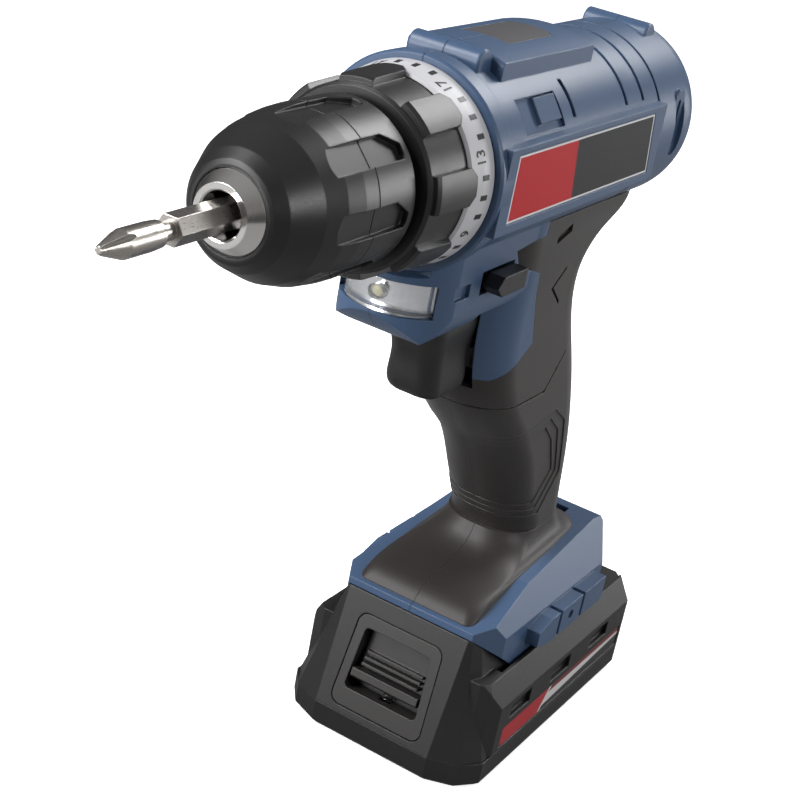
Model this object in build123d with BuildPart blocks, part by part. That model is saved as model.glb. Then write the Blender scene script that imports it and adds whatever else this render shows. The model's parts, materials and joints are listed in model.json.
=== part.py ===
from build123d import *
import os
from math import atan2, cos, degrees, pi, radians, sin, sqrt, tan

# Cordless drill driver on its battery pack, in millimetres. +Z is up, the chuck points along -Y,
# and the drill's left side is +X. The origin is the middle of the flat base of the battery.

os.makedirs("parts", exist_ok=True)

# ---- driving dimensions ----
axis_z = 201.7            # height of the spindle axis
wall = 2.4                # moulded wall of the housing
skin = 1.6                # thickness of the rubber grip over the housing
running_fit = 0.05        # radial clearance between a shaft and its hole

barrel_radius = 26.5
barrel_front = -105.6
cap_joint = -9.8          # where the rear cap meets the two halves
barrel_rear = 25.0

sleeve_radius = 20.5
sleeve_front = -176.2
sleeve_seam = -149.0
sleeve_rear = -132.6
nose_radius = 9.75
flute_count = 8
flute_angle = 42.0        # where the first flute sits, up from the left side

collar_front = -131.0
scale_front = -115.0
scale_rear = -106.0
collar_lugs = 8
lug_angle = 7.0
lug_width_angle = 22.0

bit_flats = 6.35          # quarter inch hexagon
flute_rise = 0.27          # slope of the flutes of the cross point
jaw_radius = 2.8
jaw_tilt = 16.0

gear_module = 0.7
sun_teeth = 12
planet_teeth = 18
ring_teeth = 48
backlash = 0.10
planet_orbit = gear_module * (sun_teeth + planet_teeth) / 2

battery_half_width = 35.5
battery_front = -58.5
battery_rear = 57.0
rim_height = 27.0         # where the side ledge of the pack starts
deck_height = 32.0        # top of the pack under the foot
foot_half_width = 29.0
clip_hole = (-1.0, 41.5)  # belt clip screw in the middle stud: y, z
clip_thread_radius = 1.65

spindle_axis = Axis((0, 0, axis_z), (0, 1, 0))


# ---- helpers ----
def turned(points):
    """Closed outline of (station along Y, radius from the spindle axis) points."""
    with BuildSketch(Plane.YZ) as outline:
        with BuildLine():
            Polyline([(y, axis_z + r) for y, r in points], close=True)
        make_face()
    return outline.sketch


def tube_face(y0, y1, r_in, r_out):
    return turned([(y0, r_in), (y1, r_in), (y1, r_out), (y0, r_out)])


def about_spindle(angle):
    """Location that turns a shape about the spindle axis, from the left side upwards."""
    return Location((0, 0, axis_z)) * Location((0, 0, 0), (0, -angle, 0)) * Location((0, 0, -axis_z))


def slab(points, x0, x1):
    """Prism across the drill between two stations of X, from (y, z) points."""
    with BuildPart() as prism:
        with BuildSketch(Plane.YZ.offset(x0)):
            with BuildLine():
                Polyline(points, close=True)
            make_face()
        extrude(amount=x1 - x0)
    return prism.part


def block(x0, x1, y0, y1, z0, z1):
    middle = ((x0 + x1) / 2, (y0 + y1) / 2, (z0 + z1) / 2)
    return Pos(*middle) * Box(x1 - x0, y1 - y0, z1 - z0, mode=Mode.PRIVATE)


def pair(x0, x1, y0, y1, z0, z1):
    """The same block on both sides of the drill."""
    return block(x0, x1, y0, y1, z0, z1) + block(-x1, -x0, y0, y1, z0, z1)


def finish(builder, label):
    builder.part.label = label
    export_step(builder.part, "parts/" + label + ".step")
    print(label, len(builder.part.solids()), round(builder.part.volume))


def involute_flank(teeth, r_from, r_to, half_angle, steps=5):
    """Points of one involute flank, from r_from to r_to, as (radius, angle from the tooth's middle)."""
    pressure = radians(25)
    base = gear_module * teeth / 2 * cos(pressure)
    pitch_angle = tan(pressure) - pressure
    points = []
    for i in range(steps + 1):
        r = r_from + (r_to - r_from) * i / steps
        roll = sqrt(max((r / base) ** 2 - 1, 0))
        spread = roll - atan2(roll, 1)
        points.append((r, half_angle + pitch_angle - spread))
    return points


def gear_outline(teeth, inner=False):
    """Closed list of (x, y) points round a gear, with a tooth on the first axis. An inner gear's
    teeth point inwards: it is the space left by a cutter gear, so its gaps are the cutter's teeth."""
    pitch_radius = gear_module * teeth / 2
    base = pitch_radius * cos(radians(25))
    tip = pitch_radius + gear_module * (1.05 if inner else 0.8)
    root = pitch_radius - gear_module * (0.8 if inner else 1.05)
    thickness = pi * gear_module / 2 + (backlash / 2 if inner else -backlash / 2)
    half_angle = thickness / 2 / pitch_radius
    flank = involute_flank(teeth, max(root, base), tip, half_angle)
    pitch = 2 * pi / teeth
    shift = pitch / 2 if inner else 0
    points = []
    for tooth in range(teeth):
        middle = tooth * pitch + shift
        rising = [(r, middle - a) for r, a in flank]
        falling = [(r, middle + a) for r, a in reversed(flank)]
        foot = flank[0][1]
        if root < base:
            rising.insert(0, (root, middle - foot))
            falling.append((root, middle + foot))
        points += rising + falling
    return [(r * cos(a), r * sin(a)) for r, a in points]


def gear_face(teeth, y, direction=0, orbit=0, turn=0, bore=0, inner=False):
    """Gear profile square to the spindle, with its middle at a distance and a direction from it."""
    centre = (orbit * cos(radians(direction)), y, axis_z + orbit * sin(radians(direction)))
    first = radians(direction + turn)
    plane = Plane(origin=centre, x_dir=(cos(first), 0, sin(first)), z_dir=(0, -1, 0))
    with BuildSketch(plane) as face:
        with BuildLine():
            Polyline(gear_outline(teeth, inner), close=True)
        make_face()
        if bore:
            Circle(bore, mode=Mode.SUBTRACT)
    return face.sketch


# ---- driver bit ----
bit_tip = -218.1
bit_waist = -199.1
bit_shank_rear = -158.0
shank_radius = bit_flats / 2 / cos(pi / 6)

with BuildPart() as driver_bit:
    with BuildSketch(Plane(origin=(0, bit_waist + 2.4, axis_z), x_dir=(1, 0, 0), z_dir=(0, 1, 0))):
        RegularPolygon(shank_radius, 6, rotation=0)
    extrude(amount=bit_shank_rear - bit_waist - 2.4)
    revolve(tube_face(bit_waist - 1.6, bit_waist + 2.6, 0, 2.1), axis=spindle_axis)
    revolve(turned([(bit_waist - 1.5, 0), (bit_waist - 1.5, 3.0), (bit_waist - 4.5, 3.2), (bit_tip + 6.5, 3.2),
                    (bit_tip + 1.0, 1.35), (bit_tip, 0.9), (bit_tip, 0)]), axis=spindle_axis)
    chamfer(driver_bit.edges().group_by(Axis.Y)[-1], 0.6)
    for quarter in range(4):                       # four flutes of the cross point
        turn = radians(45 + 90 * quarter)
        side = Vector(cos(turn), 0, sin(turn))
        with BuildSketch(Plane(origin=(0, bit_tip - 0.5, axis_z), x_dir=side.cross(Vector(0, 1, 0)),
                               z_dir=(0, 1, 0))):
            Polygon((0, 0.45), (3.2, 3.65), (-3.2, 3.65), align=None)
        extrude(amount=9, dir=Vector(0, 1, 0) + side * flute_rise, mode=Mode.SUBTRACT)
finish(driver_bit, "driver_bit")


# ---- chuck ----
jaw_front = -174.0
jaw_front_offset = 3.9    # distance of the jaw's own axis from the spindle at its tip
jaw_length = 21.0
nut_front = -160.3
nut_rear = -153.7


def jaw_offset(y):
    return jaw_front_offset + (y - jaw_front) * tan(radians(jaw_tilt))


def jaw_plane(y):
    """Plane square to a tilted jaw's axis at a station of Y, for the jaw above the spindle."""
    along = (0, cos(radians(jaw_tilt)), sin(radians(jaw_tilt)))
    return Plane(origin=(0, y, axis_z + jaw_offset(y)), x_dir=(1, 0, 0), z_dir=along)


def jaw_angle(k):
    return 90 + 120 * k


with BuildPart() as jaw_bore:
    with BuildSketch(jaw_plane(jaw_front - 0.6)):
        Circle(jaw_radius + running_fit)
    extrude(amount=46)

with BuildPart() as chuck_body:
    revolve(turned([(-179.6, 5.4), (-179.9, 5.8), (-179.9, 7.2), (-176.4, nose_radius), (-168.0, nose_radius),
                    (-168.0, 12.5), (nut_front, 12.5), (nut_front, 9.0), (nut_rear, 9.0), (nut_rear, 15.4),
                    (-133.0, 15.4), (-133.0, 4.75), (-145.0, 4.75), (-145.0, 5.4)]), axis=spindle_axis)
    for k in range(3):
        add(jaw_bore.part.moved(about_spindle(jaw_angle(k) - 90)), mode=Mode.SUBTRACT)
finish(chuck_body, "chuck_body")

for k in range(3):
    with BuildPart() as jaw:
        with BuildSketch(jaw_plane(jaw_front)):
            Circle(jaw_radius)
        extrude(amount=jaw_length)
        # the gripping face is flat and lies along the bit
        add(block(-9, 9, jaw_front - 9, -140, axis_z - 9, axis_z + bit_flats / 2 + 0.03), mode=Mode.SUBTRACT)
    jaw.part = jaw.part.moved(about_spindle(jaw_angle(k) - 90))
    finish(jaw, f"chuck_jaw_{k + 1}")

with BuildPart() as chuck_nut:                     # a split ring whose cone carries the jaw thread
    reach = jaw_radius / cos(radians(jaw_tilt)) + 0.12
    revolve(turned([(nut_front + 0.2, jaw_offset(nut_front + 0.2) + reach), (nut_front + 0.2, 16.9),
                    (nut_rear - 0.2, 16.9), (nut_rear - 0.2, jaw_offset(nut_rear - 0.2) + reach)]),
            axis=spindle_axis)
    add(block(-20, 20, nut_front - 1, nut_rear + 1, axis_z - 0.15, axis_z + 0.15), mode=Mode.SUBTRACT)
finish(chuck_nut, "chuck_nut")


def sleeve_flutes():
    """Finger grooves of the chuck sleeves: flat floors with a pointed rear end."""
    with BuildPart() as grooves:
        for k in range(flute_count):
            angle = radians(flute_angle + k * 360 / flute_count)
            outward = (cos(angle), 0, sin(angle))
            plane = Plane(origin=(18.9 * cos(angle), 0, axis_z + 18.9 * sin(angle)), x_dir=(0, 1, 0), z_dir=outward)
            with BuildSketch(plane):
                with BuildLine():
                    Polyline([(-173.5, -3.2), (-136.6, -3.2), (-136.0, -2.2), (-136.0, 0.4), (-141.5, 3.7),
                              (-170.0, 3.7), (-173.5, 2.4)], close=True)
                make_face()
            extrude(amount=5)
    return grooves.part


flutes = sleeve_flutes()

with BuildPart() as chuck_front_sleeve:
    revolve(turned([(-176.6, 10.6), (-176.2, 11.6), (-173.6, 13.9), (-166.0, 17.9), (-160.0, 19.6), (-154.0, 20.3),
                    (sleeve_seam - 0.15, sleeve_radius), (sleeve_seam - 0.15, 15.5), (nut_rear + 0.2, 15.5),
                    (nut_rear + 0.2, 17.0), (nut_front - 0.2, 17.0), (nut_front - 0.2, 12.6), (-168.3, 12.6),
                    (-168.3, nose_radius + running_fit), (-176.6, nose_radius + running_fit)]),
            axis=spindle_axis)
    add(flutes, mode=Mode.SUBTRACT)
finish(chuck_front_sleeve, "chuck_front_sleeve")

with BuildPart() as chuck_rear_sleeve:
    revolve(turned([(sleeve_seam + 0.15, sleeve_radius), (-134.0, sleeve_radius), (sleeve_rear, 19.6),
                    (sleeve_rear, 15.45), (sleeve_seam + 0.15, 15.45)]), axis=spindle_axis)
    add(flutes, mode=Mode.SUBTRACT)
finish(chuck_rear_sleeve, "chuck_rear_sleeve")

with BuildPart() as chuck_screw:                   # holds the chuck on the spindle, inside the bore
    revolve(turned([(-149.5, 0), (-149.5, 4.2), (-146.4, 4.2), (-145.1, 2.4), (-137.0, 2.4), (-137.0, 0)]),
            axis=spindle_axis)
    with BuildSketch(Plane(origin=(0, -149.5, axis_z), x_dir=(1, 0, 0), z_dir=(0, 1, 0))):
        Rectangle(5.0, 1.1)
        Rectangle(1.1, 5.0)
    extrude(amount=2.2, mode=Mode.SUBTRACT)
finish(chuck_screw, "chuck_screw")


# ---- spindle and gearbox ----
output_planets = -78.5    # front face of the output stage's planets
input_planets = -68.3
planet_width = 6.0
pin_radius = 1.5

with BuildPart() as output_spindle:
    revolve(turned([(-145.0, 2.45), (-145.0, 4.7), (-132.9, 4.7), (-132.9, 6.0), (-86.0, 6.0), (-86.0, 5.0),
                    (-80.2, 5.0), (-80.2, 0), (-135.0, 0), (-135.0, 2.45)]), axis=spindle_axis)
    with BuildSketch(Plane(origin=(0, -86.0, axis_z), x_dir=(1, 0, 0), z_dir=(0, 1, 0))):
        Rectangle(12, 12)
        Rectangle(7.6, 12, mode=Mode.SUBTRACT)
    extrude(amount=6, mode=Mode.SUBTRACT)
finish(output_spindle, "output_spindle")


def planet_pins(front, length):
    with BuildPart() as pins:
        for k in range(3):
            at = radians(120 * k)
            centre = (planet_orbit * cos(at), front, axis_z + planet_orbit * sin(at))
            with BuildSketch(Plane(origin=centre, x_dir=(1, 0, 0), z_dir=(0, 1, 0))):
                Circle(pin_radius)
            extrude(amount=length)
    return pins.part


with BuildPart() as output_carrier:
    revolve(tube_face(-85.5, -80.2, 0, 14.0), axis=spindle_axis)
    with BuildSketch(Plane(origin=(0, -85.6, axis_z), x_dir=(1, 0, 0), z_dir=(0, 1, 0))):
        Rectangle(7.64, 10.1)
    extrude(amount=6, mode=Mode.SUBTRACT)
    add(planet_pins(-80.5, 8.2))
finish(output_carrier, "output_carrier")

with BuildPart() as first_carrier:
    revolve(tube_face(-71.6, -69.0, 0, 14.0), axis=spindle_axis)
    extrude(gear_face(sun_teeth, -71.4), amount=7.4)
    add(planet_pins(-69.4, 7.2))
finish(first_carrier, "first_carrier")

for stage, front in (("output", output_planets), ("input", input_planets)):
    for k in range(3):
        with BuildPart() as planet:
            extrude(gear_face(planet_teeth, front + planet_width, 120 * k, planet_orbit, 180 / planet_teeth,
                              pin_radius + running_fit), amount=planet_width)
        finish(planet, f"{stage}_planet_{k + 1}")

with BuildPart() as ring_gear:
    revolve(tube_face(-79.6, -61.8, 10.0, 20.0), axis=spindle_axis)
    extrude(gear_face(ring_teeth, -61.0, inner=True), amount=20, mode=Mode.SUBTRACT)
finish(ring_gear, "ring_gear")

with BuildPart() as gear_case:
    revolve(turned([(-127.0, 9.3), (-127.0, 12.0), (-93.0, 12.0), (-92.0, 22.0), (-60.2, 22.0), (-60.2, 3.0),
                    (-61.6, 3.0), (-61.6, 20.05), (-88.0, 20.05), (-88.0, 9.0), (-117.9, 9.0), (-117.9, 9.3)]),
            axis=spindle_axis)
    revolve(tube_face(-62.0, -60.0, 0, 5.2), axis=spindle_axis, mode=Mode.SUBTRACT)
finish(gear_case, "gear_case")

with BuildPart() as spindle_bearing:               # races and balls
    revolve(tube_face(-126.0, -118.0, 6.03, 6.9), axis=spindle_axis)
    revolve(tube_face(-126.0, -118.0, 8.4, 9.25), axis=spindle_axis)
    for k in range(9):
        at = radians(40 * k)
        with Locations((7.65 * cos(at), -122.0, axis_z + 7.65 * sin(at))):
            Sphere(0.72)
finish(spindle_bearing, "spindle_bearing")


# ---- motor ----
motor_front = -59.8
motor_rear = -10.0
motor_radius = 18.0

with BuildPart() as motor_can:
    revolve(turned([(motor_front, 5.0), (motor_front, motor_radius - 1), (motor_front + 1, motor_radius),
                    (motor_rear, motor_radius), (motor_rear, 16.8), (motor_front + 1.4, 16.8),
                    (motor_front + 1.4, 5.0)]), axis=spindle_axis)
    for k in range(6):                             # cooling slots near both ends
        for y in (motor_front + 6, motor_rear - 8):
            add(block(16, 19, y, y + 5, axis_z - 4, axis_z + 4).moved(about_spindle(60 * k + 30)),
                mode=Mode.SUBTRACT)
finish(motor_can, "motor_can")

with BuildPart() as motor_magnets:
    revolve(tube_face(-50.0, -20.0, 13.7, 16.75), axis=spindle_axis)
    add(block(-6, 6, -51, -19, axis_z - 18, axis_z + 18), mode=Mode.SUBTRACT)
finish(motor_magnets, "motor_magnets")

with BuildPart() as motor_shaft:
    revolve(tube_face(-67.5, -3.4, 0, 1.58), axis=spindle_axis)
    extrude(gear_face(sun_teeth, -60.9), amount=7.4)   # the pinion is pressed on the shaft
    revolve(tube_face(-61.0, -58.6, 1.0, 3.4), axis=spindle_axis)
finish(motor_shaft, "motor_shaft")

with BuildPart() as armature:                      # five wound poles
    revolve(tube_face(-46.0, -22.0, 1.6, 13.2), axis=spindle_axis)
    for k in range(5):
        add(block(6.0, 14.0, -47, -21, axis_z - 0.9, axis_z + 0.9).moved(about_spindle(72 * k)),
            mode=Mode.SUBTRACT)
    revolve(turned([(-50.0, 3.0), (-50.0, 9.5), (-46.0, 11.5), (-46.0, 3.0)]), axis=spindle_axis)
    revolve(turned([(-22.0, 3.0), (-22.0, 11.5), (-18.5, 9.5), (-18.5, 3.0)]), axis=spindle_axis)
    revolve(tube_face(-18.6, -17.4, 1.6, 4.4), axis=spindle_axis)   # commutator
    revolve(tube_face(-17.5, -11.0, 1.6, 5.0), axis=spindle_axis)
    for k in range(5):
        add(block(4.3, 6.0, -16.5, -10.5, axis_z - 0.25, axis_z + 0.25).moved(about_spindle(72 * k + 36)),
            mode=Mode.SUBTRACT)
finish(armature, "armature")

with BuildPart() as motor_fan:
    revolve(tube_face(-57.0, -55.8, 1.6, 15.0), axis=spindle_axis)
    revolve(tube_face(-57.0, -51.5, 1.6, 4.0), axis=spindle_axis)
    for k in range(9):
        add(block(3.5, 15.0, -56.2, -51.5, axis_z - 0.5, axis_z + 0.5).moved(about_spindle(40 * k)))
finish(motor_fan, "motor_fan")

with BuildPart() as motor_end_bell:
    revolve(turned([(motor_rear + 0.05, 1.63), (motor_rear + 0.05, 17.9), (-6.5, 17.9), (-5.0, 15.0), (-5.0, 5.0),
                    (-2.0, 5.0), (-2.0, 1.63)]), axis=spindle_axis)
    # brush holders reach in beside the commutator
    add(pair(6.5, 15, -16.0, motor_rear + 0.1, axis_z - 3.4, axis_z + 3.4))
    add(pair(6, 16, -14.6, -11.4, axis_z - 2.05, axis_z + 2.05), mode=Mode.SUBTRACT)
finish(motor_end_bell, "motor_end_bell")

with BuildPart() as motor_brushes:
    add(pair(5.06, 12, -14.5, -11.5, axis_z - 2, axis_z + 2))
finish(motor_brushes, "motor_brushes")


# ---- torque collar and clutch ----
collar_inner = 20.2
lug_pitch = 360 / collar_lugs


def lug_prism(margin, r_in, r_out):
    """Finger lugs of the torque collar: flat pads with clipped rear corners."""
    half = 24.0 * sin(radians(lug_width_angle / 2)) + margin
    front, rear = collar_front + 1.2 - margin, -113.2 + margin
    with BuildPart() as lugs:
        for k in range(collar_lugs):
            angle = radians(lug_angle + k * lug_pitch)
            outward = (cos(angle), 0, sin(angle))
            plane = Plane(origin=(r_in * cos(angle), 0, axis_z + r_in * sin(angle)), x_dir=(0, 1, 0), z_dir=outward)
            with BuildSketch(plane):
                with BuildLine():
                    Polyline([(front, -half), (rear - 2.2, -half), (rear, 2.2 - half), (rear, half - 2.2),
                              (rear - 2.2, half), (front, half)], close=True)
                make_face()
            extrude(amount=r_out - r_in)
    return lugs.part


with BuildPart() as lug_envelope:
    revolve(turned([(collar_front + 1.2, 20), (collar_front + 1.2, 23.9), (collar_front + 2.2, 24.5),
                    (-111.0, 25.2), (-111.0, 20)]), axis=spindle_axis)

with BuildPart() as torque_collar:
    revolve(turned([(collar_front, 12.6), (collar_front, 21.9), (collar_front + 0.8, 22.7), (-113.6, 23.4),
                    (-113.6, 22.4), (-106.6, 22.4), (-106.6, collar_inner), (collar_front + 2, collar_inner),
                    (collar_front + 2, 12.6)]), axis=spindle_axis)
    add(lug_prism(0, 21.5, 26) & lug_envelope.part)
    add((block(19, 21.4, collar_front + 2, -110, axis_z - 2.2, axis_z + 2.2)), mode=Mode.SUBTRACT)
    for k in range(1, 4):
        add(block(19, 21.4, collar_front + 2, -110, axis_z - 2.2, axis_z + 2.2).moved(about_spindle(90 * k)),
            mode=Mode.SUBTRACT)
finish(torque_collar, "torque_collar")

with BuildPart() as torque_scale:
    revolve(turned([(scale_front, 23.45), (-114.4, 24.3), (-110.0, 25.1), (scale_rear, 25.6), (scale_rear, 22.45),
                    (-113.4, 22.45), (-113.4, 23.45)]), axis=spindle_axis)
    add(lug_prism(0.12, 21.0, 28), mode=Mode.SUBTRACT)
finish(torque_scale, "torque_scale")

with BuildPart() as clutch_nut:                    # keyed in the collar, threaded on the nose of the gear case
    revolve(tube_face(-124.5, -119.5, 12.08, 19.9), axis=spindle_axis)
    for k in range(4):
        add(block(18, 21.2, -124.5, -119.5, axis_z - 2.0, axis_z + 2.0).moved(about_spindle(90 * k)))
finish(clutch_nut, "clutch_nut")

with BuildPart() as clutch_spring:
    spring_length = 24.6
    with BuildLine() as coil:
        Helix(spring_length / 5, spring_length, 14.6, center=(0, -118.6, axis_z), direction=(0, 1, 0))
    with BuildSketch(Plane(origin=coil.line @ 0, z_dir=coil.line % 0)):
        Circle(0.85)
    sweep(is_frenet=True)
finish(clutch_spring, "clutch_spring")


# ---- handle, foot and barrel forms ----
# stations of the handle: height, front, rear, half width
handle_stations = [(64, -15, 22, 15.4), (76, -20, 19.4, 15.8), (92, -29.5, 15.6, 16.5), (104, -38, 12.2, 16.6),
                   (114, -48, 8.5, 16.6), (130, -61, 0.8, 16.9), (148, -66, -8.0, 17.0), (162, -66, -9.2, 17.2),
                   (173, -66, 3, 17.4), (184, -66, 14, 17.6)]


def handle_form(inset):
    """Smooth grip shape, drawn in by the inset all round."""
    with BuildPart() as form:
        for z, front, rear, half in handle_stations:
            with BuildSketch(Plane.XY.offset(z)):
                with Locations((0, (front + rear) / 2)):
                    RectangleRounded(2 * (half - inset), rear - front - 2 * inset, half * 0.86 - inset)
        loft()
    return form.part


# the saddle flares out of the handle over the foot; its stations: height at the middle, front, rear,
# half width, corner radius
saddle_tilt = 6.0
saddle_stations = [(55.3, -49.4, 31.5, 21.0, 3.0), (56.9, -46.4, 30.6, 20.5, 4.0), (59.0, -31.0, 27.6, 18.6, 9.0),
                   (62.4, -19.5, 23.8, 16.1, 12.5), (66.4, -16.2, 21.8, 15.45, 13.2)]


def saddle_form(inset):
    with BuildPart() as form:
        for i, (z, front, rear, half, corner) in enumerate(saddle_stations):
            tilt = radians(saddle_tilt * (1 - i / (len(saddle_stations) - 1)))
            drop = inset if i < 3 else 0
            station = Plane(origin=(0, 0, z), x_dir=(1, 0, 0), z_dir=(0, -sin(tilt), cos(tilt))).offset(-drop)
            with BuildSketch(station):
                with Locations((0, (front + rear) / 2)):
                    RectangleRounded(2 * (half - inset), rear - front - 2 * inset, max(corner - inset, 0.6))
        loft()
    return form.part


handle_outer = handle_form(0)
handle_core = handle_form(skin)
handle_inside = handle_form(skin + wall)

# the blue side of the foot: flat flanks, sloping shoulders and a raked front
foot_profile = [(-30.5, 33.2), (-50.6, 47.9), (-50.6, 50.2), (-20, 56.5), (30, 60.8), (35.5, 60.3), (39.5, 53),
                (39.5, 33.2)]
with BuildPart() as foot_form:
    with BuildSketch(Plane.YZ.offset(-foot_half_width)):
        with BuildLine():
            Polyline(foot_profile, close=True)
        make_face()
    extrude(amount=2 * foot_half_width)
    for side in (1, -1):                           # shoulders and front corners
        with BuildSketch(Plane.XZ.offset(60)):
            with BuildLine():
                Polyline([(side * foot_half_width, 46.8), (side * 21.5, 62), (side * 40, 62), (side * 40, 46.8)],
                         close=True)
            make_face()
        extrude(amount=-120, mode=Mode.SUBTRACT)
        with BuildSketch(Plane.XY.offset(20)):
            with BuildLine():
                Polyline([(side * 22.6, -51), (side * 29.2, -39), (side * 40, -39), (side * 40, -60),
                          (side * 22.6, -60)], close=True)
            make_face()
        extrude(amount=60, mode=Mode.SUBTRACT)
        with BuildSketch(Plane.XY.offset(20)):
            with BuildLine():
                Polyline([(side * 29.2, 30), (side * 20, 40), (side * 40, 40), (side * 40, 30)], close=True)
            make_face()
        extrude(amount=60, mode=Mode.SUBTRACT)


def stud_row(x0, x1):
    """Three square studs along a flank of the foot, for a belt clip."""
    studs = slab([(-24, 39), (-16, 37), (-10.2, 37), (-10.2, 46), (-16, 46), (-24, 44)], x0, x1)
    studs += block(x0, x1, -8.4, 6.4, 37, 46)
    studs += block(x0, x1, 8.2, 24, 37, 46)
    return studs


left_studs = stud_row(28, 33.6)
right_studs = stud_row(-33.6, -28)

with BuildPart() as barrel_form:
    revolve(turned([(barrel_front, 0), (barrel_front, 27.0), (barrel_front + 0.8, 27.6), (-99.4, 27.6),
                    (-98.2, barrel_radius), (cap_joint, barrel_radius), (cap_joint, 0)]), axis=spindle_axis)
    # flat framed side panels
    add(slab([(-104, 190.4), (-103, 212.6), (cap_joint - 0.2, 212.6), (cap_joint - 0.2, 190.4)], -27.4, 27.4))

# blue flank beside the trigger: the part of the grip shape that stays bare
bare_flank = [(-120, 186), (-50, 186), (-50, 177.5), (-66, 176), (-63, 171), (-48.5, 166), (-48, 160), (-42.5, 143),
              (-58, 134), (-70, 134), (-120, 134)]


shelf_plan_front = -109.5
with BuildPart() as shelf_side:                    # its outline seen from the flank
    with BuildSketch(Plane.YZ.offset(-18)):
        with BuildLine():
            Polyline((-78, 160), (-50, 160), (-50, 186), (-104, 186), (-104, 175.2), (-110, 174.2),
                     (-110, 163.4))
            Spline((-110, 163.4), (-102.5, 156.4), (-92, 153.0), (-84, 154.4), (-78, 160))
        make_face()
    extrude(amount=36)

with BuildPart() as shelf_section:                 # its outline seen from the front, round like a hull
    with BuildSketch(Plane.XZ.offset(50)):
        with BuildLine():
            Polyline((17.2, 165), (17.2, 190), (-17.2, 190), (-17.2, 165))
            Spline((-17.2, 165), (-13.6, 157.4), (0, 152.6), (13.6, 157.4), (17.2, 165))
        make_face()
    extrude(amount=65)

with BuildPart() as shelf_form:                    # carries the lamp below the chuck
    with BuildSketch(Plane.XY.offset(150)):
        with BuildLine():
            Polyline([(17, -96), (17, -55), (-17, -55), (-17, -96)])
            ThreePointArc((17, -96), (0, shelf_plan_front), (-17, -96))
        make_face()
    extrude(amount=36)
    add(shelf_side.part, mode=Mode.INTERSECT)
    add(shelf_section.part, mode=Mode.INTERSECT)
    add(slab(bare_flank, -20, 20), mode=Mode.INTERSECT)

with BuildPart() as lens_zone:                     # the front band of the shelf, where the lens sits
    with BuildSketch(Plane.XY.offset(163.6)):
        with BuildLine():
            Polyline([(14.4, -93), (14.4, -115), (-14.4, -115), (-14.4, -93)])
            ThreePointArc((14.4, -93), (0, shelf_plan_front + 5.0), (-14.4, -93))
        make_face()
    extrude(amount=9.2)

with BuildPart() as deck_form:                     # flat deck between the two bump bars on top
    with BuildSketch(Plane.XZ.offset(90)):
        with BuildLine():
            Polyline([(14, 228.8), (14, 218), (-14, 218), (-14, 228.8)])
            ThreePointArc((14, 228.8), (0, 231.2), (-14, 228.8))
        make_face()
    extrude(amount=-51)
    fillet(deck_form.edges().filter_by(GeomType.CIRCLE), 1.2)


def bump_bar(y, z, radius, half_length):
    with BuildPart() as bar:
        with BuildSketch(Plane.YZ.offset(-half_length)):
            with Locations((y, z)):
                Circle(radius)
            with Locations((y, z - 4)):
                Rectangle(2 * radius, 8)
        extrude(amount=2 * half_length)
        fillet(bar.edges().filter_by(GeomType.CIRCLE), 0.7)
    return bar.part


pad_outline = [(-76, -7.2), (-76, 7.2), (-52, 7.2), (-50, 5.2), (-50, -5.2), (-52, -7.2)]


def pad_prism(margin):
    with BuildPart() as prism:
        with BuildSketch(Plane.XY.offset(229.9)):
            with BuildLine():
                Polyline([(x, y) for y, x in pad_outline], close=True)
            make_face()
            if margin:
                offset(amount=-margin)
        extrude(amount=4)
    return prism.part


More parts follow.
